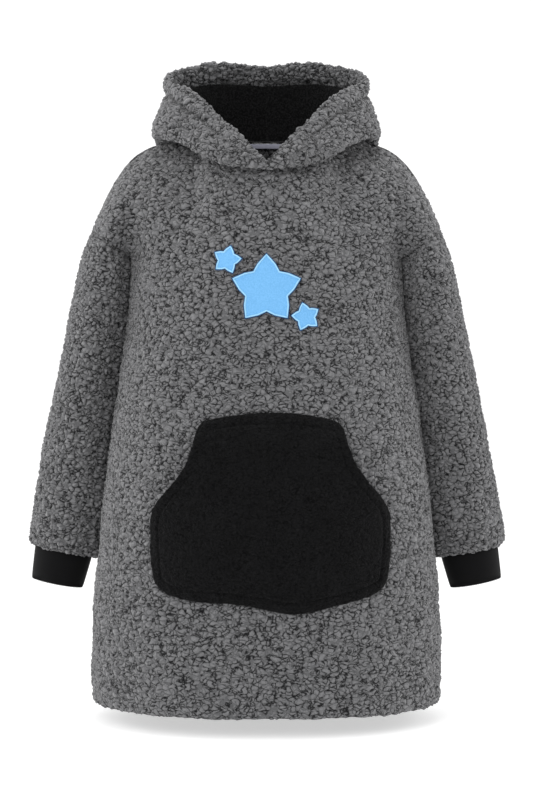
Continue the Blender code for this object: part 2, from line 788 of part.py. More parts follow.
def make_lining(name, shell_inner, azimuths, side):
    """The lining on the inside of one hood half, up to the turned band."""
    columns = sum(azimuth < LINING_ENDS for azimuth in azimuths)
    base = [[p.copy() for p in row[:columns]] for row in shell_inner[: HOOD_ROWS + 1]]
    for j in range(columns):
        base[0][j] += (base[1][j] - base[0][j]).normalized() * LINING_FOOT_TRIM
        base[-1][j] += (base[-2][j] - base[-1][j]).normalized() * LINING_BAND_TRIM
    normals = grid_normals(base, False, from_axis)
    outer = [[p - n * LAID_GAP for p, n in zip(*rows)] for rows in zip(base, normals)]
    inner = [[p - n * (LAID_GAP + LINING_WALL) for p, n in zip(*rows)] for rows in zip(base, normals)]
    for row in outer + inner:
        row[0].x = side * SEAM_GAP
    wall(name, outer, inner, "black_lining", turned=side > 0)


def even_walls(grid, thickness):
    return [[thickness] * len(row) for row in grid]


def armhole_leaning(front, back):
    """How far each armhole point's inner side leans straight up, most at the underarm."""
    leaning = {}
    for grid in (front, back):
        for i in range(YOKE_ROWS + 1):
            share = 1 - smooth_step(i / YOKE_ROWS * 3)
            for point in (grid[len(BODY_ROWS) + i][0], grid[len(BODY_ROWS) + i][-1]):
                if share > 0:
                    leaning[place_key(point)] = share
    return leaning


def clear_armhole(outer, inner):
    """Moves a sleeve's first ring off the panels, square to the seam's own face."""
    first, count = outer[0], len(outer[0])
    middle = from_ring(first)
    down = (from_ring(outer[1]) - middle).normalized()
    shifts = []
    for i, point in enumerate(first):
        along = first[(i + 1) % count] - first[i - 1]
        shift = along.cross(inner[0][i] - point).normalized() * ARMHOLE_CLEARANCE
        onwards = down + (middle - point).normalized()
        shifts.append(shift if shift.dot(onwards) > 0 else -shift)
    for grid in (outer, inner):
        grid[0] = [p + shift for p, shift in zip(grid[0], shifts)]


def straight_seam(inner_root):
    """Puts the points between two neckline points on the line that the panels' edge follows."""
    for j in range(1, len(inner_root) - 1, 2):
        inner_root[j] = (inner_root[j - 1] + inner_root[j + 1]) / 2


def main():
    for leftover in list(bpy.data.objects):
        bpy.data.objects.remove(leftover)
    front, back = body_grid(-1), body_grid(1)
    sleeve = sleeve_grid(front, back)
    hood, azimuths = hood_grid(front, back)
    hoods = {-1: lapped(mirrored(hood), azimuths), 1: lapped(hood, azimuths)}
    patches = {
        "front_panel": (front, False, from_axis, even_walls(front, FLEECE_WALL)),
        "back_panel": (back, False, from_axis, even_walls(back, FLEECE_WALL)),
        "sleeve_right": (sleeve, True, from_ring, even_walls(sleeve, FLEECE_WALL)),
        "sleeve_left": (mirrored(sleeve), True, from_ring, even_walls(sleeve, FLEECE_WALL)),
        "hood_right": (hoods[1], False, from_axis, hood_walls(hood, azimuths)),
        "hood_left": (hoods[-1], False, from_axis, hood_walls(hood, azimuths)),
    }
    inner = lined_walls(patches, armhole_leaning(front, back))
    for hand in ("right", "left"):
        straight_seam(inner["hood_" + hand][0])
    tree = surface_tree(front)
    ridge = inner["back_panel"][-1][HALF_COLUMNS - NECK_COLUMNS + 1 : HALF_COLUMNS + NECK_COLUMNS]
    make_tape([p.copy() for p in ridge])
    for side, hand in ((1, "right"), (-1, "left")):
        make_lining("hood_lining_" + hand, inner["hood_" + hand], azimuths, side)
    half_gap = SEAM_GAP / 2
    for name in ("front_panel", "back_panel"):
        outer = patches[name][0]
        pull_in(outer, inner[name], ("first_column", "last_column", "last_row"), half_gap)
        wall(name, outer, inner[name], "curly_fleece", soft_edges=("first_row",))
    for side, hand in ((1, "right"), (-1, "left")):
        name = "sleeve_" + hand
        clear_armhole(patches[name][0], inner[name])
        rise = -sleeve_end()[2] * FLEECE_WALL
        inner[name][-1] = [p + Vector((side * rise.x, 0, rise.z)) for p in patches[name][0][-1]]
        wall(name, patches[name][0], inner[name], "curly_fleece", closed=True)
        cuff = cuff_grid() if side > 0 else mirrored(cuff_grid())
        cuff_inner = lined_walls({"cuff": (cuff, True, from_ring, even_walls(cuff, CUFF_WALL))}, {})["cuff"]
        wall("cuff_" + hand, cuff, cuff_inner, "black_rib", closed=True, soft_edges=("last_row",))
        name = "hood_" + hand
        outer = patches[name][0]
        pull_in(outer, inner[name], ("first_column",), half_gap)
        pull_in(outer, inner[name], ("first_row", "last_column"), NECK_SEAM_GAP)
        wall(name, outer, inner[name], "curly_fleece", soft_edges=("last_row",), turned=side > 0)
    make_pocket(tree)
    for star in STARS:
        make_star(tree, **star)


main()
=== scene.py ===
# %% [markdown]
# # A child's hooded robe of curly fleece
#
# The real thing is a pull-on robe: a front and a back of dark grey curly fleece, two sleeves with
# black rib cuffs, a lined hood that lies down at the back, and a black kangaroo pocket. It is
# shown filled out, as when it is worn, with nobody in it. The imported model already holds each
# piece as a thin rigid wall. This lesson takes a copy of each wall, sews it to its neighbours,
# smooths it, raises its pile and gives it its finish.

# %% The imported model, and the box that it fills
import json
import math
import bmesh
import bpy
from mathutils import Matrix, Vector
from mathutils.kdtree import KDTree

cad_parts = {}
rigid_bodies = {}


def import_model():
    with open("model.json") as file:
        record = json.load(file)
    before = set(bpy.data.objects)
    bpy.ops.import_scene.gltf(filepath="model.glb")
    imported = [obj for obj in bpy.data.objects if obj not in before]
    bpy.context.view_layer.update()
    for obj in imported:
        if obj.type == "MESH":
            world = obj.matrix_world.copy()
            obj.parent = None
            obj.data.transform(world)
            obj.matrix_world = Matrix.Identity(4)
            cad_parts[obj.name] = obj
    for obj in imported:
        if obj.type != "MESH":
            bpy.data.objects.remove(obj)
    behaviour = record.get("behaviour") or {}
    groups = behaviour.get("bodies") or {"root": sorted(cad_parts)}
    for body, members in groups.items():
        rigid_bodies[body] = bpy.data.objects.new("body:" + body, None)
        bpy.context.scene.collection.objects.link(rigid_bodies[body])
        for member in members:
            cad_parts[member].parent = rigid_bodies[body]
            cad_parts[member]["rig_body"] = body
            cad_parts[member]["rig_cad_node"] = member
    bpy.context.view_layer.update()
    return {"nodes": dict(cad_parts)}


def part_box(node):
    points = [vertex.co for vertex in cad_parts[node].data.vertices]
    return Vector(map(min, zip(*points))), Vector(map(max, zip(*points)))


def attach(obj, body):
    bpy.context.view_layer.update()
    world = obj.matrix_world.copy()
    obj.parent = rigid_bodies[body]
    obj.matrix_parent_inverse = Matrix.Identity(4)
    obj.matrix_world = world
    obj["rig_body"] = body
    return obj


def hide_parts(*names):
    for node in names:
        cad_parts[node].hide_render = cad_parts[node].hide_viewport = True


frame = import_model()
bpy.ops.object.select_all(action="DESELECT")
print("nodes:", ", ".join(sorted(frame["nodes"])))

# %% [markdown]
# ## Camera, floor and light
#
# A catalogue picture is taken from straight in front with a fairly long lens, here level with the
# middle of the robe. Both a camera object and an aimed empty could do it. A camera that is placed
# by its numbers is simpler, because it looks straight along +Y. A portrait picture uses the sensor
# width for its long side, so the lens follows from the height that the picture covers.

# %% The camera
CAMERA_HEIGHT = -0.332
CAMERA_DISTANCE = 2.1
VIEW_HEIGHT = 1.0208
SENSOR = 36.0
STRAIGHT_ON = (math.radians(90), 0, 0)

bpy.ops.object.camera_add(location=(0, -CAMERA_DISTANCE, CAMERA_HEIGHT), rotation=STRAIGHT_ON)
camera = bpy.context.object
camera.data.sensor_width = SENSOR
camera.data.lens = SENSOR * CAMERA_DISTANCE / VIEW_HEIGHT
bpy.context.scene.camera = camera
print("lens:", round(camera.data.lens, 1), "mm")

# %% [markdown]
# The floor and the backdrop are one pale sheet, as a photographer's paper roll: level under the
# robe, then curving up far behind it, so that no line shows where they meet. It starts as a plane
# whose far edge is extruded up in short steps along a quarter circle. A faint glow of its own
# stands for the lamps that such a studio points at its backdrop.

# %% Floor and backdrop in one sweep
FLOOR_Z = -0.7370
FLOOR_SIZE = 16
SWEEP_RADIUS = 1.2
SWEEP_HEIGHT = 6.0
SWEEP_STEPS = 12
EDGE_MARGIN = 0.1
PAPER_WHITE = (0.62, 0.62, 0.62, 1)
PAPER_ROUGHNESS = 0.9
PAPER_GLOW = 0.52


def edit(piece, mode="VERT"):
    """Opens one object alone in edit mode, with nothing in it selected, and gives its mesh."""
    bpy.ops.object.select_all(action="DESELECT")
    piece.select_set(True)
    bpy.context.view_layer.objects.active = piece
    bpy.ops.object.mode_set(mode="EDIT")
    bpy.ops.mesh.select_mode(type=mode)
    bpy.ops.mesh.select_all(action="DESELECT")
    return bmesh.from_edit_mesh(piece.data)


def close():
    bpy.ops.object.mode_set(mode="OBJECT")


bpy.ops.mesh.primitive_plane_add(size=FLOOR_SIZE, location=(0, 0, FLOOR_Z))
floor = bpy.context.object
floor.name = "floor"
bpy.ops.object.transform_apply(location=True, rotation=True, scale=True)
far_edge = max(vertex.co.y for vertex in floor.data.vertices) - EDGE_MARGIN
mesh = edit(floor, "EDGE")
for edge in mesh.edges:
    edge.select = all(vertex.co.y > far_edge for vertex in edge.verts)
turned = 0.0
for step in range(SWEEP_STEPS):
    following = math.radians(90) * (step + 1) / SWEEP_STEPS
    along = SWEEP_RADIUS * (math.sin(following) - math.sin(turned))
    rise = SWEEP_RADIUS * (math.cos(turned) - math.cos(following))
    bpy.ops.mesh.extrude_region_move(TRANSFORM_OT_translate={"value": (0, along, rise)})
    turned = following
bpy.ops.mesh.extrude_region_move(TRANSFORM_OT_translate={"value": (0, 0, SWEEP_HEIGHT)})
close()
bpy.ops.object.shade_smooth()
paper = bpy.data.materials.new("pale_paper")
paper.use_nodes = True
paper_shader = paper.node_tree.nodes["Principled BSDF"]
paper_shader.inputs["Base Color"].default_value = PAPER_WHITE
paper_shader.inputs["Roughness"].default_value = PAPER_ROUGHNESS
paper_shader.inputs["Emission Color"].default_value = (1, 1, 1, 1)
paper_shader.inputs["Emission Strength"].default_value = PAPER_GLOW
floor.data.materials.append(paper)

# %% [markdown]
# Soft studio light comes from large panels. The world gives an even white fill, and area lights,
# above the camera, overhead and at either side, shape the cloth: the sides stay a little brighter
# than the middle, as they do when a white room wraps round the cloth.

# %% Lights
FILL_STRENGTH = 0.75
LIGHTS = [
    # name, place, aim, size, power
    ("key", (-0.9, -2.3, 1.1), (0, 0, -0.3), 1.6, 26.0),
    ("side_left", (-2.2, 0.3, 0.2), (0, 0, -0.35), 1.6, 22.0),
    ("side_right", (2.2, 0.3, 0.2), (0, 0, -0.35), 1.6, 22.0),
    ("top", (0, -0.2, 2.2), (0, 0, 0), 1.6, 18.0),
]

world = bpy.data.worlds.new("studio")
bpy.context.scene.world = world
world.use_nodes = True
world.node_tree.nodes["Background"].inputs["Color"].default_value = (1, 1, 1, 1)
world.node_tree.nodes["Background"].inputs["Strength"].default_value = FILL_STRENGTH
for name, place, aim, size, power in LIGHTS:
    facing = (Vector(aim) - Vector(place)).to_track_quat("-Z", "Y").to_euler()
    bpy.ops.object.light_add(type="AREA", location=place, rotation=facing)
    bpy.context.object.name = name
    bpy.context.object.data.size = size
    bpy.context.object.data.energy = power
bpy.context.scene.view_settings.view_transform = "Standard"

# %% [markdown]
# ## Taking a piece of cloth from the model
#
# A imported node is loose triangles, so a copy of it is merged into one closed wall first, and its
# triangles are joined in pairs to quads, which smooth better. The edges round the wall's rim are
# sharp. They are marked as seams, so that the side that shows can be picked later on, by spreading
# from one face up to the rim.

# %% Copying and merging
MERGE_DISTANCE = 0.00002
RIM_ANGLE = math.radians(38)


def modify(piece, kind, **settings):
    """Adds a modifier to a piece and applies it."""
    bpy.ops.object.select_all(action="DESELECT")
    piece.select_set(True)
    bpy.context.view_layer.objects.active = piece
    bpy.ops.object.modifier_add(type=kind)
    modifier = piece.modifiers[-1]
    for key, value in settings.items():
        setattr(modifier, key, value)
    bpy.ops.object.modifier_apply(modifier=modifier.name)


def cloth_from(node, name, quads=True):
    """A free copy of a node's wall, merged, in quads where asked, with its rim marked."""
    bpy.ops.object.select_all(action="DESELECT")
    frame["nodes"][node].select_set(True)
    bpy.context.view_layer.objects.active = frame["nodes"][node]
    bpy.ops.object.duplicate()
    piece = bpy.context.object
    bpy.ops.object.parent_clear(type="CLEAR_KEEP_TRANSFORM")
    piece.name = piece.data.name = name
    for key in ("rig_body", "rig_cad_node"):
        del piece[key]
    piece.data.materials.clear()
    edit(piece, "EDGE")
    bpy.ops.mesh.select_all(action="SELECT")
    bpy.ops.mesh.remove_doubles(threshold=MERGE_DISTANCE)
    bpy.ops.mesh.customdata_custom_splitnormals_clear()
    if quads:
        bpy.ops.mesh.tris_convert_to_quads(face_threshold=math.pi, shape_threshold=math.pi)
    bpy.ops.mesh.select_all(action="DESELECT")
    bpy.ops.mesh.edges_select_sharp(sharpness=RIM_ANGLE)
    bpy.ops.mesh.mark_seam()
    close()
    return piece


# %% [markdown]
# ## Sewing
#
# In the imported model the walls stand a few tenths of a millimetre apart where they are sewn, and
# light would shine through. Each rim point that has a neighbour's rim close by is moved just past
# it, so the two walls run into each other. Only those sewn edges are creased: smoothing then
# leaves them where they are, while free edges, such as the hem and the hood's rim, turn round.

# %% Letting each edge into its neighbour
SEWN_WITHIN = 0.0012
LET_IN = 0.0005
RIM_SAMPLE = 0.0006


def tree_of(places):
    """A search tree of points, to measure distances from."""
    tree = KDTree(len(places))
    for index, place in enumerate(places):
        tree.insert(place, index)
    tree.balance()
    return tree


def rim_samples(piece):
    """Points close together along all of a piece's marked edges."""
    places = []
    for edge in piece.data.edges:
        if edge.use_seam:
            a, b = (piece.data.vertices[index].co for index in edge.vertices)
            count = max(1, math.ceil((b - a).length / RIM_SAMPLE))
            places += [a.lerp(b, step / count) for step in range(count)]
    return places


def sew(pieces):
    """Moves the rims of these pieces into each other and creases the sewn edges."""
    trees = {piece.name: tree_of(rim_samples(piece)) for piece in pieces}
    for piece in pieces:
        others = [tree for name, tree in trees.items() if name != piece.name]
        sewn = piece.data.attributes.new("sewn", "FLOAT", "POINT")
        moves = {}
        rim = {index for edge in piece.data.edges if edge.use_seam for index in edge.vertices}
        for index in sorted(rim):
            place = piece.data.vertices[index].co.copy()
            mates = [tree.find(place) for tree in others]
            mates = [(mate, distance) for mate, _, distance in mates if 0 < distance < SEWN_WITHIN]
            if mates:
                moves[index] = [
                    (mate - place).normalized() * (distance + LET_IN) for mate, distance in mates
                ]
        for index, pushes in moves.items():
            piece.data.vertices[index].co += sum(pushes, Vector((0, 0, 0)))
            sewn.data[index].value = 1.0
        mesh = edit(piece, "EDGE")
        for edge in mesh.edges:
            edge.select = edge.seam and all(vertex.index in moves for vertex in edge.verts)
        bmesh.update_edit_mesh(piece.data)
        bpy.ops.transform.edge_crease(value=1)
        close()
        print(f"{piece.name}: {len(moves)} rim points sewn")


# %% [markdown]
# Next each point gets a share of pile: 1 on the side that shows, 0 inside. A fleece that is folded
# over at its edge has its pile all round the fold, so points within a given distance of a free
# edge get their share too. On the hood that distance takes in the whole turned band.

# %% Marking the side that shows
def mark_shown(piece, towards, round_edge):
    """Writes the pile attribute, from the face that lies furthest out in a direction."""
    mesh = edit(piece, "FACE")
    direction = Vector(towards)
    furthest = max(mesh.faces, key=lambda face: face.calc_center_median().dot(direction))
    furthest.select = True
    bmesh.update_edit_mesh(piece.data)
    bpy.ops.mesh.select_linked(delimit={"SEAM"})
    shown = {vertex.index for vertex in bmesh.from_edit_mesh(piece.data).verts if vertex.select}
    close()
    sewn = piece.data.attributes["sewn"].data
    free = set()
    for edge in piece.data.edges:
        is_sewn = all(sewn[index].value == 1 for index in edge.vertices)
        if edge.use_seam and shown.issuperset(edge.vertices) and not is_sewn:
            free.update(edge.vertices)
    if free and round_edge:
        fold = tree_of([piece.data.vertices[index].co for index in free])
        shown |= {vertex.index for vertex in piece.data.vertices if fold.find(vertex.co)[2] < round_edge}
    pile = piece.data.attributes.new("pile", "FLOAT", "POINT")
    for index in shown:
        pile.data[index].value = 1.0
    print(f"{piece.name}: {len(shown)} of {len(piece.data.vertices)} points show")


# %% [markdown]
# Smoothing cuts the corners of a free edge. On the hood's rim, whose outline is the first thing
# that one sees, each point is moved out beforehand, by a share of its distance from the middle of
# its two neighbours on the rim.

# %% Keeping the hood's corners
CORNER_SHARE = 0.6


def keep_corners(piece):
    """Moves each free rim point out by a share of its corner's height."""
    ends = {}
    for edge in piece.data.edges:
        if edge.use_seam:
            a, b = edge.vertices
            ends.setdefault(a, []).append(piece.data.vertices[b].co.copy())
            ends.setdefault(b, []).append(piece.data.vertices[a].co.copy())
    sewn = piece.data.attributes["sewn"].data
    for index, near in ends.items():
        if len(near) == 2 and sewn[index].value < 1:
            vertex = piece.data.vertices[index]
            vertex.co += (vertex.co - (near[0] + near[1]) / 2) * CORNER_SHARE


# %% [markdown]
# The pile needs points about 2 mm apart, but only where it shows. Long edges on the shown side
# are cut into more parts than short ones, so that the small faces come out nearly square.

# %% Smoothing and refining
SMOOTH_LEVELS = 2
FULL_PILE = 0.99


def refine(piece, cuts):
    """Smooths, then cuts the shown edges: for each length in metres, how many new points go on it."""
    modify(piece, "SUBSURF", levels=SMOOTH_LEVELS, render_levels=SMOOTH_LEVELS)
    for longer_than, number in cuts:
        mesh = edit(piece, "EDGE")
        pile = mesh.verts.layers.float["pile"]
        for edge in mesh.edges:
            shown = all(vertex[pile] > FULL_PILE for vertex in edge.verts)
            edge.select = shown and edge.calc_length() > longer_than
        bmesh.update_edit_mesh(piece.data)
        bpy.ops.mesh.subdivide(number_cuts=number)
        close()
    piece.data.calc_loop_triangles()
    print(f"{piece.name}: {len(piece.data.loop_triangles)} triangles")


# %% [markdown]
# ## Curls of the fleece
#
# Curly fleece is a crowd of small soft lumps, 5 to 8 mm across, with thin cracks between them, which
# lie in shade. They could be a bump in the material alone, but then the edge of the robe would be
# smooth. Here Geometry Nodes shape them in the mesh, and the material reads the same pattern, so that
# the cracks get a painted shade where the mesh is low and the curl tops a painted light. Voronoi
# cells give the lumps. Their lookup is bent by a noise, which turns straight cell walls into worms,
# the middle line of another noise cuts some lumps in two, as a curl that winds back on itself, and a
# third one lets some cracks grow over.

# %% The pattern, for the mesh and for the material alike
CURL_SIZE = 0.0076
CURL_FLATNESS = 1.4
TWIST_SIZE = 0.0100
TWIST = 0.0140
RIPPLE_SIZE = 0.0042
RIPPLE = 0.0026
CRACK_WIDTH = 0.165
DOME_REACH = 0.72
DOME_TOP = 0.05
WORM_SIZE = 0.0105
WORM_WIDTH = 0.022
CRACK_SHARE = 0.45
GAP_SIZE = 0.0075
GAP_FROM, GAP_TO = 0.50, 0.60
GAP_HEIGHT = 0.7


def chain(tree, kind, inputs, **settings):
    """Adds a node with its settings and inputs, each a socket to link or a plain value."""
    node = tree.nodes.new(kind)
    for key, value in settings.items():
        setattr(node, key, value)
    for key, value in inputs.items():
        if isinstance(value, bpy.types.NodeSocket):
            tree.links.new(value, node.inputs[key])
        else:
            node.inputs[key].default_value = value
    return node


def maths(tree, operation, *values):
    inputs = dict(enumerate(values))
    return chain(tree, "ShaderNodeMath", inputs, operation=operation).outputs[0]


def ramp(tree, value, low, high, kind="SMOOTHSTEP", to_low=0.0, to_high=1.0):
    """Maps a value from one range to another."""
    inputs = {"Value": value, "From Min": low, "From Max": high, "To Min": to_low, "To Max": to_high}
    return chain(tree, "ShaderNodeMapRange", inputs, interpolation_type=kind).outputs["Result"]


def noise(tree, place, size, detail=1.0):
    return chain(tree, "ShaderNodeTexNoise", {"Vector": place, "Scale": 1 / size, "Detail": detail})


def bent(tree, place, size, amount):
    """The place, pushed about by a noise of the given size."""
    push = {0: noise(tree, place, size).outputs["Color"], 1: (amount,) * 3, 2: place}
    return chain(tree, "ShaderNodeVectorMath", push, operation="MULTIPLY_ADD").outputs[0]


def curls(tree, place):
    """How high the pile stands, 0 to 1, and how far the place is out of a crack, 0 to 1."""
    flatten = {0: place, 1: (1, 1, CURL_FLATNESS)}
    wide = chain(tree, "ShaderNodeVectorMath", flatten, operation="MULTIPLY").outputs[0]
    twisted = bent(tree, bent(tree, wide, TWIST_SIZE, TWIST), RIPPLE_SIZE, RIPPLE)
    lookup = {"Vector": twisted, "Scale": 1 / CURL_SIZE}
    to_edge = chain(tree, "ShaderNodeTexVoronoi", lookup, feature="DISTANCE_TO_EDGE").outputs["Distance"]
    to_middle = chain(tree, "ShaderNodeTexVoronoi", lookup, feature="F1").outputs["Distance"]
    worm = noise(tree, wide, WORM_SIZE, 0.0).outputs["Fac"]
    beside_worm = maths(tree, "ABSOLUTE", maths(tree, "SUBTRACT", worm, 0.5))
    out_of_worm = ramp(tree, beside_worm, 0, WORM_WIDTH)
    cracked = maths(tree, "MULTIPLY", ramp(tree, to_edge, 0, CRACK_WIDTH), out_of_worm)
    grown_over = ramp(tree, noise(tree, place, GAP_SIZE).outputs["Fac"], GAP_FROM, GAP_TO)
    out_of_crack = maths(tree, "MAXIMUM", cracked, maths(tree, "MULTIPLY", grown_over, GAP_HEIGHT))
    dome = maths(tree, "MULTIPLY", ramp(tree, to_middle, DOME_REACH, DOME_TOP), 1 - CRACK_SHARE)
    height = maths(tree, "MULTIPLY_ADD", out_of_crack, CRACK_SHARE, dome)
    return height, out_of_crack


# %% [markdown]
# The modifier keeps each point's first place in an attribute named rest, which the material reads
# too, then moves the point along its normal, low in a crack and high on a curl. The attribute
# loft says how tall the pile is there, so a stitched line or a seam can press it flat. A slow
# noise also swells and sinks the whole cloth by a millimetre, because thick fleece is never even.

# %% The modifier that raises the pile
CURL_TOP = 0.0012
CURL_DEPTH = 0.0036
SWELL_SIZE = 0.055
SWELL = 0.0052

pile_tree = bpy.data.node_groups.new("raise_pile", "GeometryNodeTree")
pile_tree.interface.new_socket("Geometry", in_out="INPUT", socket_type="NodeSocketGeometry")
pile_tree.interface.new_socket("Geometry", in_out="OUTPUT", socket_type="NodeSocketGeometry")
way_in = pile_tree.nodes.new("NodeGroupInput")
way_out = pile_tree.nodes.new("NodeGroupOutput")
here = pile_tree.nodes.new("GeometryNodeInputPosition").outputs[0]
out = pile_tree.nodes.new("GeometryNodeInputNormal").outputs[0]
kept = chain(pile_tree, "GeometryNodeStoreNamedAttribute",
             {"Geometry": way_in.outputs[0], "Name": "rest"}, data_type="FLOAT_VECTOR", domain="POINT")
pile_tree.links.new(here, kept.inputs["Value"])
loft, press = (
    chain(pile_tree, "GeometryNodeInputNamedAttribute", {"Name": name}, data_type="FLOAT").outputs[0]
    for name in ("loft", "press")
)
fall = maths(pile_tree, "MULTIPLY_ADD", curls(pile_tree, here)[0], CURL_DEPTH, CURL_TOP - CURL_DEPTH)
drift = maths(pile_tree, "SUBTRACT", noise(pile_tree, here, SWELL_SIZE).outputs["Fac"], 0.5)
wavy = maths(pile_tree, "MULTIPLY_ADD", drift, SWELL, fall)
whole = maths(pile_tree, "MULTIPLY_ADD", wavy, loft, maths(pile_tree, "MULTIPLY", press, -1.0))
move = chain(pile_tree, "ShaderNodeVectorMath", {0: out, "Scale": whole}, operation="SCALE").outputs[0]
moved = chain(pile_tree, "GeometryNodeSetPosition", {"Geometry": kept.outputs[0], "Offset": move})
pile_tree.links.new(moved.outputs[0], way_out.inputs[0])

# %% [markdown]
# Some places hold the pile down: it thins out into every seam, along the stitched lines of the
# hem, the hood's band and the pocket, and round the appliques. Each point gets two numbers for
# this, worked out from its distance to the seam and to the stitched lines. Loft is how much of
# the full pile stands there, and press is how far the cloth itself is drawn in.

# %% Loft and press
SEAM_REACH = 0.0034
SEAM_DIP = 0.0012
SEAM_THINNING = 0.5
STITCH_REACH = 0.0028
HALF = 0.5


def hollow(distance, reach):
    """1 at the middle of a groove, falling softly to 0 beyond its reach."""
    return math.exp(-((distance / reach) ** 2))


def seam_points(piece):
    """The points along the sewn edges of the side that shows."""
    pile, sewn = (piece.data.attributes[name].data for name in ("pile", "sewn"))
    ends = {index for edge in piece.data.edges if edge.use_seam for index in edge.vertices}
    found = [index for index in ends if pile[index].value > HALF and sewn[index].value > HALF]
    return [piece.data.vertices[index].co.copy() for index in found]


def lay_pile(piece, rule, height=1.0):
    """Writes loft and press on each point; the rule changes them from the point's place."""
    seam = tree_of(seam_points(piece))
    for name in ("loft", "press"):
        piece.data.attributes.new(name, "FLOAT", "POINT")
    loft, press, pile = (piece.data.attributes[name].data for name in ("loft", "press", "pile"))
    for vertex in piece.data.vertices:
        share = pile[vertex.index].value
        to_seam = seam.find(vertex.co)[2]
        near = hollow(to_seam, SEAM_REACH) if to_seam is not None else 0.0
        stands, drawn = rule(vertex.co, vertex.normal, 1 - SEAM_THINNING * near, SEAM_DIP * near)
        loft[vertex.index].value = height * stands * share
        press[vertex.index].value = drawn * share
    modify(piece, "NODES", node_group=pile_tree)
    bpy.ops.object.shade_smooth()

# %% [markdown]
# ## Materials of the cloth
#
# Every cloth here scatters light softly, so roughness is high and a little sheen lights the nap
# at glancing angles. The colour comes from two tones: a painted shade in the cracks and the pile's
# own tone on the curls, whose tops are painted lighter than their low sides. A slow noise varies
# both, as a pile that was brushed by hands does. Fine fibres are a bump. A place that a stitched
# line draws in is painted darker, as the shade that lies in its groove.

# %% A pile material with two tones
SHEEN_ROUGHNESS = 0.5
SPECULAR = 0.08
PILE_ROUGHNESS = 0.95
BRUSHED_SIZE = 0.035
FIBRE_SIZE = 0.0012
FIBRE_DEPTH = 0.0006
FIBRE_STRENGTH = 0.7
NOISE_LOW, NOISE_HIGH = 0.3, 0.7
SPECK_DARK, SPECK_LIGHT = 0.8, 1.2
# painted light on the curl tops and painted shade low between them, as factors on the colour
PAINTED_TOP_LIGHT, PAINTED_LOW_SHADE = 0.30, 0.82
CURL_BUMP = 0.0024
CURL_STRENGTH = 0.9
# painted shade in a stitched groove: the press at which it starts and is full, and how light the groove is
# left
GROOVE_SHADE_FROM, GROOVE_SHADE_TO = 0.0010, 0.0032
GROOVE_SHADE_LEVEL = 0.35


def fresh_material(name, roughness, sheen):
    """A material of soft cloth, with its node tree and its shader."""
    material = bpy.data.materials.new(name)
    material.use_nodes = True
    shader = material.node_tree.nodes["Principled BSDF"]
    shader.inputs["Roughness"].default_value = roughness
    shader.inputs["Sheen Weight"].default_value = sheen
    shader.inputs["Sheen Roughness"].default_value = SHEEN_ROUGHNESS
    shader.inputs["Specular IOR Level"].default_value = SPECULAR
    return material, material.node_tree, shader


def blend(tree, factor, low, high):
    """A colour between two, by a factor."""
    return chain(tree, "ShaderNodeMix", {0: factor, 6: low, 7: high}, data_type="RGBA").outputs[2]


def scaled(tree, colour, factor):
    inputs = {0: colour, "Scale": factor}
    return chain(tree, "ShaderNodeVectorMath", inputs, operation="SCALE").outputs[0]


def bump(tree, height, distance, strength, below=None):
    inputs = {"Height": height, "Distance": distance, "Strength": strength}
    if below:
        inputs["Normal"] = below
    return chain(tree, "ShaderNodeBump", inputs).outputs[0]


def pile_material(name, crack, tip, sheen, patch, finer=1.0):
    """Curly or brushed pile: painted shade in its cracks and grooves, painted light on its curl tops, with
    fibres.
    """
    material, tree, shader = fresh_material(name, PILE_ROUGHNESS, sheen)
    place = chain(tree, "ShaderNodeAttribute", {}, attribute_name="rest").outputs["Vector"]
    height, out_of_crack = curls(tree, scaled(tree, place, finer))
    slow = noise(tree, place, BRUSHED_SIZE, 2.0).outputs["Fac"]
    brushed = ramp(tree, slow, NOISE_LOW, NOISE_HIGH, "LINEAR", 1 - patch, 1 + patch)
    fibres = noise(tree, place, FIBRE_SIZE, 3.0).outputs["Fac"]
    speck = ramp(tree, fibres, NOISE_LOW, NOISE_HIGH, "LINEAR", SPECK_DARK, SPECK_LIGHT)
    # painted light on the curl tops, painted shade low down between them
    painted_dome_shade = maths(tree, "MULTIPLY_ADD", height, PAINTED_TOP_LIGHT, PAINTED_LOW_SHADE)
    press = chain(tree, "ShaderNodeAttribute", {}, attribute_name="press").outputs["Fac"]
    # painted shade in the groove of a stitched line, from how far the cloth is drawn in
    painted_groove_shade = ramp(tree, press, GROOVE_SHADE_FROM, GROOVE_SHADE_TO, "SMOOTHSTEP", 1.0, GROOVE_SHADE_LEVEL)
    tone_and_painted_shade = maths(tree, "MULTIPLY", painted_dome_shade, maths(tree, "MULTIPLY", brushed, speck))
    tone_and_painted_shade = maths(tree, "MULTIPLY", tone_and_painted_shade, painted_groove_shade)
    # the crack tone is a painted shade; out of the cracks the colour turns to the pile's own tone
    colour = scaled(tree, blend(tree, out_of_crack, crack, tip), tone_and_painted_shade)
    tree.links.new(colour, shader.inputs["Base Color"])
    lumps = bump(tree, height, CURL_BUMP / finer, CURL_STRENGTH)
    tree.links.new(bump(tree, fibres, FIBRE_DEPTH, FIBRE_STRENGTH, lumps), shader.inputs["Normal"])
    return material


# the first colour of each is a painted shade for the cracks, the second is the pile's own tone
curly_fleece = pile_material(
    "curly_fleece", (0.006, 0.006, 0.007, 1), (0.158, 0.158, 0.163, 1), sheen=0.30, patch=0.07)
black_fleece = pile_material(
    "black_fleece", (0.0008, 0.0008, 0.0010, 1), (0.0062, 0.0062, 0.0066, 1), sheen=0.03, patch=0.15,
    finer=1.7)

# %% [markdown]
# The rib of the cuffs, the knit of the hood's lining, the woven tape and the felt of the stars
# are thin cloths with no pile. Each one gets a fine pattern of its own, drawn on Object
# coordinates, since every finished piece keeps its place in its mesh.

